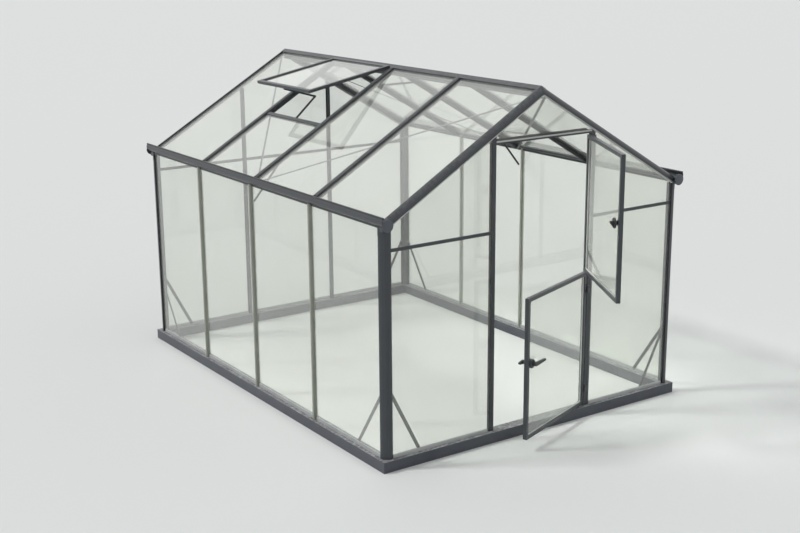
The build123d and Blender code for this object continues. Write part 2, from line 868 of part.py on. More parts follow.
def vent_opener():
    """Two links and a knee pin that hold the vent open."""
    t = opener_thickness
    knee = (-opener_knee_out, slope_z(opener_knee_out, 0) + opener_knee_lift)
    r = opener_width / 2
    foot = slope_point(vent_sill_at - vent_sill_width / 2 - r - seat_gap, -r)
    rail_middle = vent_top + vent_length - vent_frame_width / 2
    tip = vent_point(rail_middle, vent_lift - r - seat_gap)
    lower = link(foot, knee, vent_mid - t - seat_gap, vent_mid - seat_gap, opener_width)
    upper = link(tip, knee, vent_mid + seat_gap, vent_mid + t + seat_gap, opener_width)
    pin_reach = seat_gap + t + opener_pin_end
    place = Plane(origin=(knee[0], vent_mid - pin_reach, knee[1]), x_dir=(1, 0, 0), z_dir=(0, 1, 0))
    return lower + upper + place * extrude(Circle(opener_pin), 2 * pin_reach)


# Braces

def strap(start, end, face, wide, thick):
    """A flat strap with round ends whose outer face lies on the line from start to end."""
    a, b = Vector(*start), Vector(*end)
    along = b - a
    place = Plane(origin=(a + b) / 2, x_dir=along, z_dir=Vector(*face))
    return place * extrude(SlotCenterToCenter(along.length, wide), thick)


def corner_braces():
    """Two straps at each corner, from the post down to the base."""
    top = base_height + corner_brace_rise
    low = base_height + sill_height / 2
    near = leg + strap_width / 2
    gable = strap(
        (near - half, brace_face, top),
        (near - half + corner_brace_run, brace_face, low),
        (0, 1, 0),
        strap_width,
        strap_thickness,
    )
    side_face = brace_face - half
    top = base_height + corner_brace_rise_side
    side = strap(
        (side_face, near, top),
        (side_face, near + corner_brace_run_side, low),
        (1, 0, 0),
        strap_width,
        strap_thickness,
    )
    braces = []
    for piece in (gable, side):
        for side_piece in both_sides(piece):
            braces.extend(both_ends(side_piece))
    return braces


def middle_ties():
    """Two knee braces and a collar tie on the middle bars."""
    wall_in = wall_x - bar_depth
    r = knee_width / 2
    knee_low = (-wall_in, gutter_z - knee_drop)
    knee_high_x = -(wall_in - knee_reach)
    knee_high = (knee_high_x, slope_z(knee_high_x, -bar_depth))
    y0 = mid + channel_width / 2 + seat_gap
    knee = link(knee_low, knee_high, y0, y0 + strap_thickness, knee_width)
    z = apex_height - tie_drop
    x = (slope_z(0, -bar_depth) - z) / tan(pitch)
    tie = link((-x, z), (x, z), y0, y0 + strap_thickness, knee_width)
    return both_sides(knee) + (tie,)


def wind_braces():
    """Four thin straps under the roof bars, from the middle eaves to the gable peaks."""
    braces = []
    n = -bar_depth - seat_gap
    x0, z0 = slope_point(half / rise_x - wire_rise, n)
    x1, z1 = slope_point(wire_drop, n)
    y0 = mid - wire_width / 2 - edge_gap
    y1 = rafter_depth + seat_gap + wire_width / 2
    inward = (rise_z, 0, -rise_x)
    brace = strap((x0, y0, z0), (x1, y1, z1), inward, wire_width, wire_thickness)
    for side_piece in both_sides(brace):
        braces.extend(both_ends(side_piece))
    return braces


def build():
    """Makes every node and writes it."""
    front, back, left, right = base_rails()
    save("base_front", front)
    save("base_back", back)
    save("base_left", left)
    save("base_right", right)
    save("sill_rails", *sill_rails())
    corners = [piece for side in both_sides(corner_post()) for piece in both_ends(side)]
    beams = [piece for side in both_sides(rafter()) for piece in both_ends(side)]
    labels = ("front_left", "back_left", "front_right", "back_right")
    for label, post, beam in zip(labels, corners, beams):
        save(f"post_{label}", post)
        save(f"rafter_{label}", beam)
    for label, trough in zip(("left", "right"), both_sides(gutter_left())):
        save(f"gutter_{label}", trough)
    save("gutter_end_caps", *gutter_caps())
    save("ridge", ridge())
    left_bars, right_bars = zip(*[both_sides(bar) for bar in roof_bars()])
    save("roof_bars_left", *left_bars)
    save("roof_bars_right", *right_bars)
    left_bars, right_bars = zip(*[both_sides(bar) for bar in wall_bars()])
    save("side_bars_left", *left_bars)
    save("side_bars_right", *right_bars)
    save("back_bars", *back_bars())
    save("back_transom", *back_transom())
    save("front_transoms", *front_transoms())
    save("door_jamb_left", door_jamb(-1))
    save("door_jamb_right", door_jamb(1))
    save("door_head", door_head())
    save("glass_left", *wall_panes())
    save("glass_right", *[mirror(pane, about=left_mirror) for pane in wall_panes()])
    save("glass_roof_left", *roof_panes(True))
    save("glass_roof_right", *[mirror(pane, about=left_mirror) for pane in roof_panes(False)])
    save("glass_front", *front_panes())
    save("glass_back", *back_panes())
    save("vent_frame", vent_frame())
    save("vent_glass", vent_pane())
    save("vent_sill", vent_sill())
    save("vent_opener", vent_opener())
    save("corner_braces", *corner_braces())
    save("middle_ties", *middle_ties())
    save("wind_braces", *wind_braces())
    lower_plates = roses(handle_height, rose_radius, rose_thickness, rose_edge)
    upper_plates = roses(knob_height, collar_radius, collar_thickness, collar_edge)
    leaves = (("lower", lower_span, lower_open, handle_height, lower_plates),)
    leaves += (("upper", upper_span, upper_open, knob_height, upper_plates),)
    for label, span, angle, grip, plates in leaves:
        save(f"{label}_leaf_frame", swung(leaf_frame_ring(span), angle))
        save(f"{label}_leaf_glass", swung(leaf_pane(span, grip), angle))
        pieces = [leaf_hinge(z) for z in hinge_heights(span)] + plates
        save(f"{label}_leaf_fittings", *[swung(piece, angle) for piece in pieces])
    heights = hinge_heights(lower_span) + hinge_heights(upper_span)
    save("jamb_hinges", *[jamb_hinge(z) for z in heights])
    save("lever_handle", swung(lever_handle(), lower_open))
    save("turn_knob", swung(turn_knob(), upper_open))


build()
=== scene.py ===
import math
import bpy
import numpy as np
from mathutils import Matrix, Vector


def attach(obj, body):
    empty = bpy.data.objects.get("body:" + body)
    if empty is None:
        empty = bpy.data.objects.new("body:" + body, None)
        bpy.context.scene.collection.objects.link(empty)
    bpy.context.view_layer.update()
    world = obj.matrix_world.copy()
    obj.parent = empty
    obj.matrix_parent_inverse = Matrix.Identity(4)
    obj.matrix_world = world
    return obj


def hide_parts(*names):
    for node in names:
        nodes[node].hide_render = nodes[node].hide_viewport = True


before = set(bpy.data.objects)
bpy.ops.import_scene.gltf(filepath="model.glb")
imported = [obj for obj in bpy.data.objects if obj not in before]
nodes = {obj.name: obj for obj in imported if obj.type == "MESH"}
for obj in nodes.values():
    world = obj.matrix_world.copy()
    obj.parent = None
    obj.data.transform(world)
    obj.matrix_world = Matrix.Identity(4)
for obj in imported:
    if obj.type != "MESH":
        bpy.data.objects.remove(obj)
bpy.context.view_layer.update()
print("frame loaded:", len(nodes), "nodes")

scene = bpy.context.scene
scene.view_settings.view_transform = "Standard"
scene.cycles.transparent_max_bounces = 24    # a sight line can cross many panes

# the viewpoint of the photograph, fitted to the corners of the house
camera = {
    "place": (-4.9635, -5.7550, 3.0564),
    "yaw": 34.3132,      # degrees from +Y towards +X
    "pitch": -14.8031,
    "roll": -0.442,
    "focalPixels": 1287.25,
    "frameWidth": 800,
    "sensor": 36.0,
    "farthest": 500.0,
}

# light and surroundings
studio = {
    "floorColour": (0.68, 0.69, 0.68),
    "floorRoughness": 0.9,
    "floorSize": 240.0,
    "worldColour": (0.80, 0.81, 0.82),
    "worldStrength": 0.85,
    "backColour": (0.88, 0.89, 0.89),
    "sunStrength": 1.5,
    "sunAngle": 9.0,     # degrees, softness of the shadows
    "sunTurn": (42.0, 0.0, -118.0),
}


def nodeTree(material):
    material.use_nodes = True
    tree = material.node_tree
    tree.nodes.clear()
    return tree


def addNode(tree, kind, **values):
    node = tree.nodes.new(kind)
    for name, value in values.items():
        setattr(node, name, value)
    return node


def link(tree, source, target):
    tree.links.new(source, target)


def newGroup(name, inputs, outputs):
    group = bpy.data.node_groups.new(name, "ShaderNodeTree")
    for label, kind, value in inputs:
        socket = group.interface.new_socket(name=label, in_out="INPUT", socket_type=kind)
        socket.default_value = value
    for label, kind in outputs:
        group.interface.new_socket(name=label, in_out="OUTPUT", socket_type=kind)
    return group, group.nodes.new("NodeGroupInput"), group.nodes.new("NodeGroupOutput")


# noise over a piece's own coordinates
def noise(tree, place, scale, detail, roughness=0.5):
    cloud = addNode(tree, "ShaderNodeTexNoise")
    cloud.inputs["Scale"].default_value = scale
    cloud.inputs["Detail"].default_value = detail
    cloud.inputs["Roughness"].default_value = roughness
    link(tree, place, cloud.inputs["Vector"])
    return cloud


# a value carried from the span low to high over to the span toLow to toHigh
def mapped(tree, source, low, high, toLow=0.0, toHigh=1.0):
    span = addNode(tree, "ShaderNodeMapRange")
    limits = {"From Min": low, "From Max": high, "To Min": toLow, "To Max": toHigh}
    for label, value in limits.items():
        span.inputs[label].default_value = value
    link(tree, source, span.inputs["Value"])
    return span.outputs["Result"]


def mixed(tree, factor, first, second):
    mix = addNode(tree, "ShaderNodeMix", data_type="RGBA")
    link(tree, factor, mix.inputs["Factor"])
    link(tree, first, mix.inputs["A"])
    link(tree, second, mix.inputs["B"])
    return mix.outputs["Result"]


# one operation on two values
def pairOf(tree, operation, first, second):
    both = addNode(tree, "ShaderNodeMath", operation=operation)
    link(tree, first, both.inputs[0])
    link(tree, second, both.inputs[1])
    return both.outputs["Value"]


# roughness plus a share of a mask, held between 0 and 1
def dulled(tree, roughness, mask, share):
    dull = addNode(tree, "ShaderNodeMath", operation="MULTIPLY_ADD")
    dull.inputs[1].default_value = share
    dull.use_clamp = True
    link(tree, mask, dull.inputs[0])
    link(tree, roughness, dull.inputs[2])
    return dull.outputs["Value"]


# how the powder coat clouds, dulls and gathers dust, whose pale colour on upward faces also paints
# the light falling on them
coatLook = {
    "peelDetail": 2.0,
    "peelDepth": 0.0004,
    "cloudScale": 6.5,
    "cloudDetail": 5.0,
    "cloudRoughness": 0.62,
    "cloudRange": (0.36, 0.70),
    "lyingRange": (0.25, 1.0),     # upward part of the normal where dust and painted top light start and are full
    "speckScale": 55.0,
    "speckDetail": 6.0,
    "speckRoughness": 0.7,
    "speckRange": (0.40, 0.66),
    "cloudDulls": 0.06,
    "dustAndTopLightDulls": 0.5,
}


# powder coat: fine orange peel, faint clouding and pale dust on faces that look up, partly dust
# and partly painted light on those faces
def coatGroup(look):
    group, start, end = newGroup(
        "powderCoat",
        [
            ("Colour", "NodeSocketColor", (0.05, 0.05, 0.05, 1)),
            ("Cloud colour", "NodeSocketColor", (0.06, 0.06, 0.06, 1)),
            ("Dust and top light colour", "NodeSocketColor", (0.44, 0.44, 0.42, 1)),
            ("Dust and top light", "NodeSocketFloat", 0.2),
            ("Roughness", "NodeSocketFloat", 0.45),
            ("Peel size", "NodeSocketFloat", 900.0),
        ],
        [
            ("Colour", "NodeSocketColor"),
            ("Roughness", "NodeSocketFloat"),
            ("Height", "NodeSocketFloat"),
        ],
    )
    given = start.outputs
    place = addNode(group, "ShaderNodeTexCoord").outputs["Object"]
    peel = noise(group, place, 1.0, look["peelDetail"])
    link(group, given["Peel size"], peel.inputs["Scale"])
    cloud = noise(group, place, look["cloudScale"], look["cloudDetail"], look["cloudRoughness"])
    clouds = mapped(group, cloud.outputs["Fac"], *look["cloudRange"])
    clouded = mixed(group, clouds, given["Colour"], given["Cloud colour"])
    split = addNode(group, "ShaderNodeSeparateXYZ")
    facing = addNode(group, "ShaderNodeNewGeometry")
    link(group, facing.outputs["Normal"], split.inputs["Vector"])
    lying = mapped(group, split.outputs["Z"], *look["lyingRange"])
    speck = noise(group, place, look["speckScale"], look["speckDetail"], look["speckRoughness"])
    specks = mapped(group, speck.outputs["Fac"], *look["speckRange"])
    # partly dust, partly painted light: upward faces are made paler
    upwardSpecks = pairOf(group, "MULTIPLY", lying, specks)
    dustAndTopLight = pairOf(group, "MULTIPLY", upwardSpecks, given["Dust and top light"])
    dustedAndTopLit = mixed(group, dustAndTopLight, clouded, given["Dust and top light colour"])
    sheen = dulled(group, given["Roughness"], clouds, look["cloudDulls"])
    link(group, dustedAndTopLit, end.inputs["Colour"])
    link(group, dulled(group, sheen, dustAndTopLight, look["dustAndTopLightDulls"]), end.inputs["Roughness"])
    link(group, peel.outputs["Fac"], end.inputs["Height"])
    return group


powderCoat = coatGroup(coatLook)


# a coated metal, plastic or rubber: the group's values feed one shader
def coated(name, colour, cloud, dustAndTopLight=0.2, roughness=0.42, peel=900.0, metallic=0.0, bump=0.05):
    material = bpy.data.materials.new(name)
    tree = nodeTree(material)
    shader = addNode(tree, "ShaderNodeBsdfPrincipled")
    shader.inputs["Metallic"].default_value = metallic
    shader.inputs["Specular IOR Level"].default_value = 0.5
    surface = addNode(tree, "ShaderNodeOutputMaterial")
    link(tree, shader.outputs["BSDF"], surface.inputs["Surface"])
    look = addNode(tree, "ShaderNodeGroup", node_tree=powderCoat)
    values = {
        "Colour": (*colour, 1),
        "Cloud colour": (*cloud, 1),
        "Dust and top light": dustAndTopLight,
        "Roughness": roughness,
        "Peel size": peel,
    }
    for label, value in values.items():
        look.inputs[label].default_value = value
    link(tree, look.outputs["Colour"], shader.inputs["Base Color"])
    link(tree, look.outputs["Roughness"], shader.inputs["Roughness"])
    relief = addNode(tree, "ShaderNodeBump")
    relief.inputs["Strength"].default_value = bump
    relief.inputs["Distance"].default_value = coatLook["peelDepth"]
    link(tree, look.outputs["Height"], relief.inputs["Height"])
    link(tree, relief.outputs["Normal"], shader.inputs["Normal"])
    return material


# clear glazing with a faint pale veil, let through by lamp light: the veil is painted reflection
# of the sky, in patches that are partly a dust film
glazing = {
    "colour": (0.955, 0.965, 0.945),
    "filmAndReflectionColour": (0.90, 0.92, 0.87),
    "filmAndReflectionScale": 3.2,
    "filmAndReflectionDetail": 6.0,
    "filmDulls": 0.03,
    "clearness": 0.90,
    "bending": 1.5,                # index of refraction of float glass
    "shadowColour": (0.93, 0.94, 0.93),
}


def clearGlass(name, look):
    material = bpy.data.materials.new(name)
    tree = nodeTree(material)
    shader = addNode(tree, "ShaderNodeBsdfPrincipled")
    # painted reflection: the share that is not let through shows the pale colours as a veil in
    # place of the sky's reflection
    shader.inputs["Transmission Weight"].default_value = look["clearness"]
    shader.inputs["IOR"].default_value = look["bending"]
    place = addNode(tree, "ShaderNodeTexCoord").outputs["Object"]
    # patches of the veil: partly a dust film, partly painted reflection of sky and trees
    filmAndReflection = noise(tree, place, look["filmAndReflectionScale"], look["filmAndReflectionDetail"]).outputs["Fac"]
    mix = addNode(tree, "ShaderNodeMix", data_type="RGBA")
    mix.inputs["A"].default_value = (*look["colour"], 1)
    mix.inputs["B"].default_value = (*look["filmAndReflectionColour"], 1)
    link(tree, filmAndReflection, mix.inputs["Factor"])
    link(tree, mix.outputs["Result"], shader.inputs["Base Color"])
    dull = mapped(tree, filmAndReflection, 0.0, 1.0, 0.0, look["filmDulls"])
    link(tree, dull, shader.inputs["Roughness"])
    path = addNode(tree, "ShaderNodeLightPath")
    through = addNode(tree, "ShaderNodeBsdfTransparent")
    through.inputs["Color"].default_value = (*look["shadowColour"], 1)
    both = addNode(tree, "ShaderNodeMixShader")
    link(tree, path.outputs["Is Shadow Ray"], both.inputs["Fac"])
    link(tree, shader.outputs["BSDF"], both.inputs[1])
    link(tree, through.outputs["BSDF"], both.inputs[2])
    surface = addNode(tree, "ShaderNodeOutputMaterial")
    link(tree, both.outputs["Shader"], surface.inputs["Surface"])
    return material


anthracite = coated(
    "anthraciteCoat", (0.036, 0.041, 0.046), (0.042, 0.047, 0.054), roughness=0.29
)
# partly dust, partly painted light: the heavy dust makes the base's upward faces pale, standing in
# for the light on its top
baseCoat = coated(
    "baseCoat", (0.050, 0.054, 0.070), (0.062, 0.068, 0.080), dustAndTopLight=0.95, roughness=0.30
)
braceCoat = coated("braceCoat", (0.034, 0.037, 0.040), (0.046, 0.050, 0.054), roughness=0.4)
railMetal = coated(
    "glazingRailMetal", (0.50, 0.51, 0.52), (0.58, 0.59, 0.60),
    dustAndTopLight=0.3, metallic=0.6, roughness=0.4,
)
blackPlastic = coated(
    "blackPlastic", (0.020, 0.021, 0.023), (0.028, 0.029, 0.031),
    dustAndTopLight=0.15, roughness=0.36, peel=1500.0,
)
# painted light: a light grey on the side cover bars that stands in for the sky light falling on
# their rounded caps
sideBarPaintedLight = coated(
    "sideBarPaintedLight", (0.27, 0.285, 0.245), (0.33, 0.345, 0.30), roughness=0.36, metallic=0.3
)
# painted shade: a colour darker than the frame for the gutter beads, standing in for the shade
# along the gutters' rims
rimShadeTrim = coated("rimShadeTrim", (0.020, 0.022, 0.024), (0.028, 0.030, 0.033), roughness=0.40)
endGrey = coated("endGrey", (0.062, 0.070, 0.084), (0.075, 0.083, 0.098), roughness=0.34)
# partly a light-grey glazing seal, partly painted highlight: a pale colour that stands in for the
# bright lit edges along the pane borders
paleSealAndHighlight = coated(
    "paleSealAndHighlight", (0.42, 0.43, 0.41), (0.52, 0.53, 0.51), dustAndTopLight=0.1, roughness=0.55, peel=400.0
)
boltSteel = coated(
    "boltSteel", (0.36, 0.37, 0.38), (0.46, 0.47, 0.48),
    dustAndTopLight=0.15, roughness=0.32, metallic=0.9,
)
clearPane = clearGlass("clearPane", glazing)
print("materials made")

finishes = {
    "glass": clearPane,
    "base": baseCoat,
    "braces": braceCoat,
    "glazing_rail": railMetal,
    "caps": blackPlastic,
    "grips": blackPlastic,
}


def slotOf(name):
    if "glass" in name:
        return "glass"
    if name.startswith("base_"):
        return "base"
    if name in ("corner_braces", "middle_ties", "wind_braces", "vent_opener"):
        return "braces"
    if name == "sill_rails":
        return "glazing_rail"
    if name == "gutter_end_caps":
        return "caps"
    if name in ("lever_handle", "turn_knob"):
        return "grips"
    return "profiles"


for name, piece in nodes.items():
    piece.data.materials.clear()
    piece.data.materials.append(finishes.get(slotOf(name), anthracite))


# the sizes of the house that its small pieces sit on, in metres
house = {
    "half": 1.150,
    "length": 3.108,
    "apex": 2.132,
    "slope": 676.0 / 1150.0,    # fall of the roof glass for each metre out
    "paneFace": 1.138,          # outer face of the side panes, out from the middle
    "barPlaces": (0.802, 1.554, 2.306),
    "baseTop": 0.068,
    "leg": 0.051,               # side of a corner post
    "frontFace": 0.012,         # outer face of the front panes
    "bracePlane": 0.0188,       # inner faces of the walls, where the straps lie
    "hinge": (0.3895, 0.0),     # the door's hinge pins
    "lowerTurn": 20.5,          # degrees that each leaf stands open
    "upperTurn": 62.5,
}


# one section copied to both ends of every run and joined by flat sides, with closed ends:
# a point is start or end + across * u + up * v
def carried(section, starts, ends, across, up):
    section = np.asarray(section, float)
    starts, ends = np.atleast_2d(np.asarray(starts, float)), np.atleast_2d(np.asarray(ends, float))
    across, up = (np.broadcast_to(np.asarray(way, float), starts.shape) for way in (across, up))
    against = (np.cross(across, up) * (ends - starts)).sum(1, keepdims=True) < 0
    first, last = np.where(against, ends, starts), np.where(against, starts, ends)
    flat = section[None, :, :1] * across[:, None] + section[None, :, 1:] * up[:, None]
    points = np.stack([first[:, None] + flat, last[:, None] + flat], axis=1)
    size = len(section)
    j = np.arange(size)
    k = (j + 1) % size
    shift = np.arange(len(starts))[:, None, None] * 2 * size
    sides = np.stack([j, k, k + size, j + size], axis=1)[None] + shift
    caps = np.stack([j[::-1], j + size])[None] + shift
    return points.reshape(-1, 3), sides.reshape(-1, 4).tolist() + caps.reshape(-1, size).tolist()


# a profile of (radius, height) turned about every axis: a point is centre + axis * height
# + (cos a * p + sin a * q) * radius, with p and q square to the axis
def turned(profile, centres, axes, sides):
    profile = np.asarray(profile, float)
    centres = np.atleast_2d(np.asarray(centres, float))
    axes = np.broadcast_to(np.asarray(axes, float), centres.shape)
    axes = axes / np.linalg.norm(axes, axis=1, keepdims=True)
    helper = np.where(np.abs(axes[:, 2:]) < 0.9, (0.0, 0.0, 1.0), (1.0, 0.0, 0.0))
    p = np.cross(axes, helper)
    p /= np.linalg.norm(p, axis=1, keepdims=True)
    q = np.cross(axes, p)
    a = np.arange(sides) * 2 * np.pi / sides
    spokes = np.cos(a)[None, :, None] * p[:, None] + np.sin(a)[None, :, None] * q[:, None]
    rings = profile[None, :, None, :1] * spokes[:, None]
    rings = rings + (profile[:, 1:] * axes[:, None])[:, :, None]
    points = centres[:, None, None] + rings
    i, j = np.meshgrid(np.arange(len(profile) - 1), np.arange(sides), indexing="ij")
    k, first, second = (j + 1) % sides, i * sides, (i + 1) * sides
    quads = np.stack([first + j, first + k, second + k, second + j], axis=-1)
    shift = np.arange(len(centres))[:, None] * len(profile) * sides
    quads = (quads.reshape(1, -1, 4) + shift[:, :, None]).reshape(-1, 4)
    ring = np.arange(sides)
    caps = np.stack([ring[::-1], ring + (len(profile) - 1) * sides])[None] + shift[:, :, None]
    return points.reshape(-1, 3), quads.tolist() + caps.reshape(-1, sides).tolist()


# a section carried round a closed path of points: a point is path + inward * u + outward * v
def looped(section, path, inward, outward):
    section = np.asarray(section, float)
    flat = section[None, :, :1] * inward[:, None] + section[None, :, 1:] * outward[:, None]
    points = path[:, None] + flat
    i, j = np.meshgrid(np.arange(len(path)), np.arange(len(section)), indexing="ij")
    m, n = (i + 1) % len(path), (j + 1) % len(section)
    size = len(section)
    faces = np.stack([i * size + j, i * size + n, m * size + n, m * size + j], axis=-1)
    return points.reshape(-1, 3), faces.reshape(-1, 4).tolist()


# points turned about the door's hinge pins by an angle in degrees
def swung(points, angle):
    x, y = house["hinge"]
    turn = math.radians(angle)
    dx, dy = points[:, 0] - x, points[:, 1] - y
    across = x + dx * math.cos(turn) - dy * math.sin(turn)
    along = y + dx * math.sin(turn) + dy * math.cos(turn)
    return np.stack([across, along, points[:, 2]], axis=1)


# mirror images of rows of points: left and right, or front and back
def bothSides(points):
    points = np.atleast_2d(np.asarray(points, float))
    return np.concatenate([points, points * (-1, 1, 1)])


def bothEnds(points):
    points = np.atleast_2d(np.asarray(points, float))
    return np.concatenate([points, points * (1, -1, 1) + (0, house["length"], 0)])


# the front left corner's mirror images and moves that give all four corners
def corners():
    front, back = np.zeros(3), np.array([0, house["length"], 0])
    return [((1, 1, 1), front), ((-1, 1, 1), front), ((1, -1, 1), back), ((-1, -1, 1), back)]


smoothUnder = 40.0    # degrees, sharper edges stay hard


def makePiece(name, shapes, material, body):
    points, faces, shift = [], [], 0
    for shapePoints, shapeFaces in shapes:
        points.append(shapePoints)
        faces.extend([[corner + shift for corner in face] for face in shapeFaces])
        shift += len(shapePoints)
    mesh = bpy.data.meshes.new(name)
    mesh.from_pydata(np.concatenate(points).tolist(), [], faces)
    mesh.polygons.foreach_set("use_smooth", np.ones(len(mesh.polygons), bool))
    mesh.set_sharp_from_angle(angle=math.radians(smoothUnder))
    mesh.materials.append(material)
    piece = bpy.data.objects.new(name, mesh)
    scene.collection.objects.link(piece)
    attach(piece, body)
    return piece


# height of the roof at x, on a plane that lies out from the glass
def roofHeight(x, out):
    fall = house["slope"]
    return house["apex"] + out * math.hypot(1.0, fall) - np.abs(x) * fall


# side bars: a rounded cover outside the panes, a web between them and a flange behind
sideBars = {
    "cover": 0.018,
    "rise": 0.019,
    "round": 0.005,
    "roundMiddle": 0.3,            # how far the corner's middle point is cut in, of round
    "web": 0.005,
    "pane": 0.004,
    "flange": 0.018,
    "depth": 0.012,
    "foot": 0.0005,
    "top": 1.4515,
}


# half of the section, its mirror image added, carried from the base to the gutter; the section's
# points are (along the wall, out from the panes' outer face)
def makeSideBars(look):
    w, h, r = look["cover"] / 2, look["rise"], look["round"]
    web, pane, f, d = look["web"] / 2, look["pane"], look["flange"] / 2, look["depth"]
    c = r * look["roundMiddle"]
    back = [(f, -d), (f, -pane), (web, -pane), (web, 0)]
    half = np.array(back + [(w, 0), (w, h - r), (w - c, h - c), (w - r, h)])
    section = np.concatenate([half, (half * (-1, 1))[::-1]])
    places = np.array(house["barPlaces"])
    low = places[:, None] * (0, 1, 0) + (-house["paneFace"], 0, house["baseTop"] + look["foot"])
    high = low * (1, 1, 0) + (0, 0, look["top"])
    for side, label in ((1, "left"), (-1, "right")):
        start, end = low * (side, 1, 1), high * (side, 1, 1)
        shape = carried(section, start, end, (0, side, 0), (-side, 0, 0))
        # the bars take the light grey of painted sky light
        bars = makePiece("side_cover_bars_" + label, [shape], sideBarPaintedLight, "house")
        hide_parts("side_bars_" + label)
    print("side bars made")


# rolled bead along the outer lip of each gutter, darker than the frame: painted shade along the
# rim
gutterBead = {"radius": 0.0065, "sides": 16, "out": 1.1610, "height": 1.5080, "overrun": 0.024}


def makeGutterBeads(look):
    a = np.arange(look["sides"]) * 2 * np.pi / look["sides"]
    section = np.stack([np.cos(a), np.sin(a)], axis=1) * look["radius"]
    starts = bothSides((-look["out"], -look["overrun"], look["height"]))
    ends = starts * (1, 0, 1) + (0, house["length"] + look["overrun"], 0)
    for i, label in enumerate(("left", "right")):
        shape = carried(section, starts[i], ends[i], (1, 0, 0), (0, 0, 1))
        makePiece("gutter_bead_" + label, [shape], rimShadeTrim, "house")
    print("gutter beads made")


# verge rafters: the outer upper edge is a quarter ellipse, and the halves meet in a mitre
slimRafter = {
    "high": 0.040,
    "deep": 0.038,
    "steps": 14,         # points on the rounded edge
    "lip": 0.003,        # how far the inner upper edge is cut down
    "outer": 1.1495,
}


# the section's points are (in from the gable's face, down from the roof's outer plane); carried
# from crest to eaves, both ends are cut upright
def makeRafters(look):
    high, deep = look["high"], look["deep"]
    a = np.linspace(np.pi / 2, 0, look["steps"])
    nose = np.stack([deep * (1 - np.sin(a)), high * (1 - np.cos(a))], axis=1)
    section = np.concatenate([[(deep, look["lip"]), (deep, high)], nose])
    crest = np.array([0.0, 0.0, roofHeight(0.0, house["frontFace"])])
    eaves = np.array([-look["outer"], 0.0, roofHeight(look["outer"], house["frontFace"])])
    down = (0.0, 0.0, -math.hypot(1.0, house["slope"]))
    labels = ("front_left", "front_right", "back_left", "back_right")
    for label, (flip, move) in zip(labels, corners()):
        inward = np.array((0.0, flip[1], 0.0))
        shape = carried(section, crest * flip + move, eaves * flip + move, inward, down)
        rafter = makePiece("slim_rafter_" + label, [shape], anthracite, "house")
        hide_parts("rafter_" + label)
    print("rafters made")


# round end plates of the gutters, and the sleeves that close the posts under them
gutterEnd = {
    "radius": 0.0372,
    "edge": 0.0025,
    "thick": 0.004,
    "hub": 0.0005,       # small radius that closes the plate's middle
    "sides": 40,
    "out": 1.1325,
    "height": 1.4635,
    "overrun": 0.024,
    "sleeve": 0.0018,    # wall of the sleeve, outside the post
    "sleeveSteps": 12,
    "sleeveFoot": 1.398,
    "sleeveTop": 1.4560,
}


# plates: a profile turned about the gutter's line; sleeves: the band between two quarter circles
# round the post's inner edge, carried upwards
def makeGutterEnds(look):
    r, e, t, hub = look["radius"], look["edge"], look["thick"], look["hub"]
    plate = [(hub, 0), (r, 0), (r, t - e / 2), (r - e, t), (hub, t)]
    front = bothSides((-look["out"], -look["overrun"], look["height"]))
    back = front * (1, 0, 1) + (0, house["length"] + look["overrun"], 0)
    shapes = [turned(plate, front, (0, -1, 0), look["sides"])]
    shapes.append(turned(plate, back, (0, 1, 0), look["sides"]))
    plates = makePiece("gutter_end_plates", shapes, endGrey, "house")
    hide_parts("gutter_end_caps")
    a = np.linspace(0, np.pi / 2, look["sleeveSteps"])
    leg = house["leg"]
    ways = np.stack([np.sin(a), np.cos(a)], axis=1)
    section = np.concatenate([leg - leg * ways, leg - (leg + look["sleeve"]) * ways[::-1]])
    low = np.array([-house["half"], 0, look["sleeveFoot"]])
    high = np.array([-house["half"], 0, look["sleeveTop"]])
    shapes = []
    for flip, move in corners():
        across, up = np.array((1.0, 0, 0)) * flip, np.array((0, 1.0, 0)) * flip
        shapes.append(carried(section, low * flip + move, high * flip + move, across, up))
    makePiece("post_sleeves", shapes, anthracite, "house")
    print("gutter ends made")


# pressed straps: the corner braces and the wind braces, flat with a shallow rib and round ends
straps = {
    "corner": {"wide": 0.022, "thick": 0.003, "rib": 0.0016},
    "wind": {"wide": 0.015, "thick": 0.002, "rib": 0.0008},
    "ribFoot": 0.40,            # half widths of the rib, of the strap's half width
    "ribTop": 0.22,
    "hub": 0.0004,
    "sides": 20,
    "gable": ((-1.0875, 0.453), (-0.8975, 0.082)),    # x, z of the front left strap's ends
    "side": ((0.0625, 0.448), (0.3125, 0.082)),       # y, z of the left wall's front strap
    "windRise": 0.060,          # from the eaves up to the low end, along the slope
    "windDrop": 0.060,          # from the crest down to the high end
    "windOut": -0.0303,         # under the roof glass, square to the slope
    "windEnds": (1.5455, 0.0385),    # y of the low and of the high end of the front pair
}


# a ribbed section carried from tip to tip, with a disc turned about each tip
def strapShapes(starts, ends, face, size, look):
    w, t, r = size["wide"] / 2, size["thick"], size["rib"]
    foot, top = w * look["ribFoot"], w * look["ribTop"]
    half = np.array([(w, 0), (w, t), (foot, t), (top, t + r)])
    section = np.concatenate([half, (half * (-1, 1))[::-1]])
    along = ends - starts
    along /= np.linalg.norm(along, axis=1, keepdims=True)
    shapes = [carried(section, starts, ends, np.cross(face, along), face)]
    disc = [(look["hub"], 0), (w, 0), (w, t), (look["hub"], t)]
    return shapes + [turned(disc, tips, face, look["sides"]) for tips in (starts, ends)]


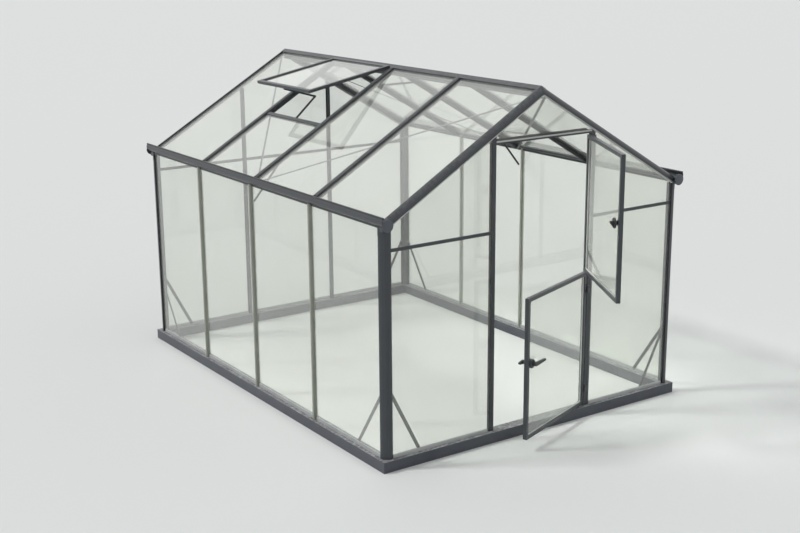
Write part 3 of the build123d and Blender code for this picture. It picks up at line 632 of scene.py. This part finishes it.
def makeStraps(look):
    plane = house["bracePlane"]
    shapes = []
    tips = [np.array([(x, plane, z)]) for x, z in look["gable"]]
    sides = [np.array([(plane - house["half"], y, z)]) for y, z in look["side"]]
    for end, way in ((0, 1), (1, -1)):
        move = np.array([0, end * house["length"], 0])
        low, high = (bothSides(tip * (1, way, 1) + move) for tip in tips)
        face = np.array((0.0, way, 0.0))
        shapes += strapShapes(low, high, face, look["corner"], look)
    for side in (1, -1):
        low, high = (bothEnds(tip * (side, 1, 1)) for tip in sides)
        face = np.array((float(side), 0.0, 0.0))
        shapes += strapShapes(low, high, face, look["corner"], look)
    corner = makePiece("corner_straps", shapes, braceCoat, "house")
    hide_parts("corner_braces")
    fall = math.hypot(1.0, house["slope"])
    rx, rz, n = 1 / fall, house["slope"] / fall, look["windOut"]
    reach = house["half"] * fall - look["windRise"]
    shapes = []
    for side in (1, -1):
        tips = []
        for down, y in ((reach, look["windEnds"][0]), (look["windDrop"], look["windEnds"][1])):
            height = house["apex"] - down * rz + n * rx
            tips.append(np.array([(-side * (down * rx + n * rz), y, height)]))
        low, high = (bothEnds(tip) for tip in tips)
        face = np.array((side * rz, 0.0, -rx))
        shapes += strapShapes(low, high, face, look["wind"], look)
    wind = makePiece("wind_straps", shapes, braceCoat, "house")
    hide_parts("wind_braces")
    print("straps made")


# light strip along the upper edge of the door's head bar, partly a seal and partly a painted
# highlight of the light on that edge
headSealAndHighlight = {
    "left": -0.3475,
    "right": 0.3915,
    "low": 1.8435,
    "high": 1.8528,
    "face": 0.009,
    "proud": 0.0016,
    "outline": ((0, 0), (1, 0), (1, 0.5), (0.85, 1), (0.1, 1), (0, 0.5)),    # of height and proud
}


def makeHeadSealAndHighlight(look):
    section = np.array(look["outline"]) * (look["high"] - look["low"], look["proud"])
    start, end = ((look[side], look["face"], look["low"]) for side in ("left", "right"))
    shape = carried(section, start, end, (0, 0, 1), (0, -1, 0))
    makePiece("head_seal_and_highlight", [shape], paleSealAndHighlight, "house")
    print("head seal made")


# pale seals between the gable panes and the rafters, partly seals and partly a painted highlight
# of the bright edge under the rafters
rafterSealAndHighlight = {
    "wide": 0.0115,
    "proud": 0.0060,
    "outer": 1.097,
    "inner": 0.0,
    "under": -0.0280,    # from the roof glass down to the seal's upper edge, square to the slope
    "outline": ((0, 0), (1, 0), (1, 0.4), (0.8, 0.5), (0.55, 1), (0.1, 1), (0, 0.7)),
}


# the outline, in shares of wide and proud, carried along the rafter's under edge
def makeRafterSealsAndHighlights(look):
    x = np.array([look["outer"], look["inner"]])
    low, high = np.stack([-x, x * 0 + house["frontFace"], roofHeight(x, look["under"])], axis=1)
    fall = math.hypot(1.0, house["slope"])
    down = np.array([house["slope"] / fall, 0, -1 / fall])    # square to the slope, in the gable
    section = np.array(look["outline"]) * (look["wide"], look["proud"])
    shapes = []
    for flip, move in corners():
        start, end = low * flip + move, high * flip + move
        shapes.append(carried(section, start, end, down * flip, (0, -flip[1], 0)))
    makePiece("rafter_seals_and_highlights", shapes, paleSealAndHighlight, "house")
    print("rafter seals made")


# light line where each leaf's pane meets its frame, on both faces: partly a seal, partly a painted
# highlight of the frame's lit inner edges
leafSealAndHighlight = {
    "wide": 0.0045,
    "thick": 0.0030,
    "slant": 0.8,                # width of the top, of the foot's width
    "corner": 0.014,
    "cornerSteps": 6,
    "inset": 0.022,              # width of the leaf's frame
    "across": (-0.343, 0.387),   # the leaf's edges when shut
    "lower": (0.077, 0.957),
    "upper": (0.965, 1.827),
    "panes": (0.0195, 0.0235),   # outer and inner face of the pane when shut
}


# a section carried round a path with rounded corners, in front of the pane and behind it
def makeLeafSealsAndHighlights(look):
    x0, x1 = look["across"][0] + look["inset"], look["across"][1] - look["inset"]
    r, steps = look["corner"], look["cornerSteps"]
    a = np.linspace(0, np.pi / 2, steps + 1)
    quarter = np.stack([np.cos(a), np.sin(a)], axis=1)
    turns = np.array([[[1, 0], [0, 1]], [[0, -1], [1, 0]], [[-1, 0], [0, -1]], [[0, 1], [-1, 0]]])
    ways = np.einsum("tij,nj->tni", turns, quarter).reshape(-1, 2)
    w, t = look["wide"], look["thick"]
    section = [(0, 0), (w, 0), (w * look["slant"], t), (0, t)]
    for label in ("lower", "upper"):
        z0, z1 = look[label][0] + look["inset"], look[label][1] - look["inset"]
        hubs = np.array([(x1 - r, z1 - r), (x0 + r, z1 - r), (x0 + r, z0 + r), (x1 - r, z0 + r)])
        flat = np.repeat(hubs, steps + 1, axis=0) + ways * r
        inward = np.stack([-ways[:, 0], np.zeros(len(ways)), -ways[:, 1]], axis=1)
        shapes = []
        for y, way in zip(look["panes"], (-1, 1)):
            path = np.stack([flat[:, 0], np.full(len(flat), y), flat[:, 1]], axis=1)
            outward = np.broadcast_to((0.0, float(way), 0.0), path.shape)
            points, faces = looped(section, path, inward, outward)
            if way > 0:
                faces = [face[::-1] for face in faces]
            shapes.append((swung(points, house[label + "Turn"]), faces))
        makePiece(label + "_leaf_seals_and_highlights", shapes, paleSealAndHighlight, label + "_leaf")
    print("leaf seals made")


# nuts on washers where the corner straps are bolted
strapBolts = {
    "nutRadius": 0.0058,
    "nutRise": 0.0045,
    "nutFoot": 0.92,             # radius under the nut's lower edge, of its radius
    "nutTop": 0.86,
    "nutBevels": (0.0006, 0.0008),
    "washerRadius": 0.0075,
    "washerRise": 0.0012,
    "studRadius": 0.0028,
    "studRise": 0.0085,
    "studTip": 0.75,
    "studBevel": 0.0006,
    "hub": 0.0005,
    "studHub": 0.0003,
    "sides": (24, 6, 12),
}


# washer, nut and stud, each a profile turned about the same axis
def boltSet(centres, axes, look):
    lift, nut, hub = look["washerRise"], look["nutRadius"], look["hub"]
    top, stud, tip = lift + look["nutRise"], look["studRadius"], look["studRise"]
    lower, upper = look["nutBevels"]
    profiles = (
        [(hub, 0), (look["washerRadius"], 0), (look["washerRadius"], lift), (hub, lift)],
        [
            (hub, lift), (nut * look["nutFoot"], lift), (nut, lift + lower),
            (nut, top - upper), (nut * look["nutTop"], top), (hub, top),
        ],
        [
            (stud, 0), (stud, tip - look["studBevel"]),
            (stud * look["studTip"], tip), (look["studHub"], tip),
        ],
    )
    pairs = zip(profiles, look["sides"])
    return [turned(profile, centres, axes, sides) for profile, sides in pairs]


def makeStrapBolts(look):
    inner = house["bracePlane"] + straps["corner"]["thick"]
    gable = np.array([(x, inner, z) for x, z in straps["gable"]])
    side = np.array([(inner - house["half"], y, z) for y, z in straps["side"]])
    front = bothSides(gable)
    back = front * (1, -1, 1) + (0, house["length"], 0)
    left = bothEnds(side)
    right = left * (-1, 1, 1)
    shapes = boltSet(front, (0, 1, 0), look) + boltSet(back, (0, -1, 0), look)
    shapes += boltSet(left, (1, 0, 0), look) + boltSet(right, (-1, 0, 0), look)
    makePiece("strap_bolts", shapes, boltSteel, "house")
    print("strap bolts made")


# two small ribs down the rounded face of every corner post
postRibs = {
    "angles": (28.0, 62.0),      # degrees round the post's inner edge
    "wide": 0.0030,
    "topShare": 0.5,             # width of the rib's top, of its foot
    "proud": 0.0012,
    "sunk": 0.0002,
    "top": 1.425,
}


# each rib's section stands square to the rounded face and is carried upwards
def makePostRibs(look):
    turn = np.radians(look["angles"])
    hub = np.array([house["leg"] - house["half"], house["leg"]])
    out = -np.stack([np.cos(turn), np.sin(turn)], axis=1)
    seat = hub + out * (house["leg"] - look["sunk"])
    low = np.concatenate([seat, np.full((2, 1), house["baseTop"])], axis=1)
    high = low * (1, 1, 0) + (0, 0, look["top"])
    up = np.concatenate([out, np.zeros((2, 1))], axis=1)
    across = np.cross(up, (0.0, 0.0, 1.0))
    w, t = look["wide"] / 2, look["proud"]
    top = w * look["topShare"]
    section = [(-w, 0), (w, 0), (top, t), (-top, t)]
    shapes = []
    for flip, move in corners():
        start, end = low * flip + move, high * flip + move
        shapes.append(carried(section, start, end, across * flip, up * flip))
    makePiece("post_ribs", shapes, anthracite, "house")
    print("post ribs made")


# countersunk screws of the hinge plates
hingeScrews = {
    "radius": 0.0034,
    "rise": 0.0007,
    "top": 0.8,                  # radius of the head's flat top, of its radius
    "hub": 0.0004,
    "sides": 16,
    "out": 0.016,
    "heights": (0.006, 0.018),
    "plateFace": 0.006,
    "lower": (0.187, 0.847),     # heights of the hinges
    "upper": (1.075, 1.717),
}


def makeHingeScrews(look):
    x, face = house["hinge"][0], look["plateFace"]
    hub, r, rise = look["hub"], look["radius"], look["rise"]
    head = [(hub, 0), (r, 0), (r * look["top"], rise), (hub, rise)]
    onJamb = []
    for label in ("lower", "upper"):
        onLeaf = []
        for z in look[label]:
            onLeaf += [(x - look["out"], face, z + lift) for lift in look["heights"]]
            onJamb += [(x + look["out"], face, z - lift) for lift in look["heights"]]
        points, faces = turned(head, onLeaf, (0, -1, 0), look["sides"])
        shape = (swung(points, house[label + "Turn"]), faces)
        makePiece(label + "_hinge_screws", [shape], boltSteel, label + "_leaf")
    shape = turned(head, onJamb, (0, -1, 0), look["sides"])
    makePiece("jamb_hinge_screws", [shape], boltSteel, "house")
    print("hinge screws made")


makeSideBars(sideBars)
makeRafters(slimRafter)
makeGutterEnds(gutterEnd)
makeStraps(straps)
makeHeadSealAndHighlight(headSealAndHighlight)
makeGutterBeads(gutterBead)
makeRafterSealsAndHighlights(rafterSealAndHighlight)
makeLeafSealsAndHighlights(leafSealAndHighlight)
makeStrapBolts(strapBolts)
makePostRibs(postRibs)
makeHingeScrews(hingeScrews)


def makeCamera(look):
    yaw, pitch, roll = (math.radians(look[key]) for key in ("yaw", "pitch", "roll"))
    level = Vector((math.cos(yaw), -math.sin(yaw), 0.0))
    ahead = Vector((math.sin(yaw), math.cos(yaw), 0.0)) * math.cos(pitch)
    ahead.z = math.sin(pitch)
    upright = level.cross(ahead)
    right = level * math.cos(roll) + upright * math.sin(roll)
    top = upright * math.cos(roll) - level * math.sin(roll)
    lens = bpy.data.cameras.new("photoCamera")
    lens.sensor_width = look["sensor"]
    lens.lens = look["focalPixels"] / look["frameWidth"] * look["sensor"]
    lens.clip_end = look["farthest"]
    seat = bpy.data.objects.new("photoCamera", lens)
    scene.collection.objects.link(seat)
    turn = Matrix((right, top, -ahead)).transposed()
    seat.matrix_world = Matrix.Translation(look["place"]) @ turn.to_4x4()
    scene.camera = seat


def makeFloor(look):
    half = look["floorSize"] / 2
    mesh = bpy.data.meshes.new("floor")
    places = np.array([[-1, -1, 0], [1, -1, 0], [1, 1, 0], [-1, 1, 0]], float) * half
    mesh.from_pydata(places.tolist(), [], [(0, 1, 2, 3)])
    floor = bpy.data.objects.new("floor", mesh)
    scene.collection.objects.link(floor)
    material = bpy.data.materials.new("paleFloor")
    tree = nodeTree(material)
    shader = addNode(tree, "ShaderNodeBsdfPrincipled")
    shader.inputs["Base Color"].default_value = (*look["floorColour"], 1)
    shader.inputs["Roughness"].default_value = look["floorRoughness"]
    surface = addNode(tree, "ShaderNodeOutputMaterial")
    link(tree, shader.outputs["BSDF"], surface.inputs["Surface"])
    mesh.materials.append(material)


# the sky lights the house, and eyes, mirrors and panes see the plain backdrop
def makeSky(look):
    world = bpy.data.worlds.new("softSky")
    scene.world = world
    world.use_nodes = True
    tree = world.node_tree
    tree.nodes.clear()
    sky = addNode(tree, "ShaderNodeBackground")
    sky.inputs["Color"].default_value = (*look["worldColour"], 1)
    sky.inputs["Strength"].default_value = look["worldStrength"]
    back = addNode(tree, "ShaderNodeBackground")
    back.inputs["Color"].default_value = (*look["backColour"], 1)
    rays = addNode(tree, "ShaderNodeLightPath").outputs
    seen = pairOf(tree, "MAXIMUM", rays["Is Camera Ray"], rays["Is Glossy Ray"])
    seen = pairOf(tree, "MAXIMUM", seen, rays["Is Transmission Ray"])
    both = addNode(tree, "ShaderNodeMixShader")
    link(tree, seen, both.inputs["Fac"])
    link(tree, sky.outputs["Background"], both.inputs[1])
    link(tree, back.outputs["Background"], both.inputs[2])
    surface = addNode(tree, "ShaderNodeOutputWorld")
    link(tree, both.outputs["Shader"], surface.inputs["Surface"])


def makeSun(look):
    lamp = bpy.data.lights.new("softSun", "SUN")
    lamp.energy = look["sunStrength"]
    lamp.angle = math.radians(look["sunAngle"])
    sun = bpy.data.objects.new("softSun", lamp)
    sun.rotation_euler = [math.radians(turn) for turn in look["sunTurn"]]
    scene.collection.objects.link(sun)


makeCamera(camera)
makeFloor(studio)
makeSky(studio)
makeSun(studio)
print("camera and studio ready")
